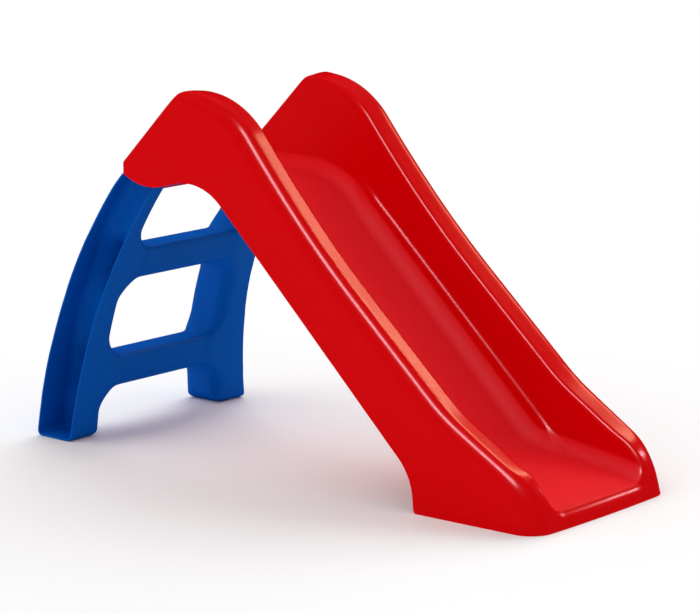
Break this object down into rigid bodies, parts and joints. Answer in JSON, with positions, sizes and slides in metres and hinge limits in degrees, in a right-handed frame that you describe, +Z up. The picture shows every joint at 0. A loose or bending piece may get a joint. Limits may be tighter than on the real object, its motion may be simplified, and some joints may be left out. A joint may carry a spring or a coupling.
{
  "type": "toddler slide",
  "caption": "Free-standing toddler slide: a moulded trough with rounded rims and raised hand-holds, plugged over an arched moulded step ladder.",
  "frame": {"origin": "on the floor, under the middle of the slide's length and width", "axes": "+X downhill, from the ladder to the toe; +Y across the width; +Z up"},
  "size_m": [1.115, 0.47, 0.661],
  "materials": {
    "chute_plastic": "glossy moulded plastic",
    "ladder_plastic": "satin moulded plastic",
    "screw_steel": "zinc-plated steel"
  },
  "bodies": {
    "root": {"chute": "chute_plastic", "ladder": "ladder_plastic", "ladder_screws": "screw_steel", "screw_washers": "screw_steel"}
  },
  "joints": []
}
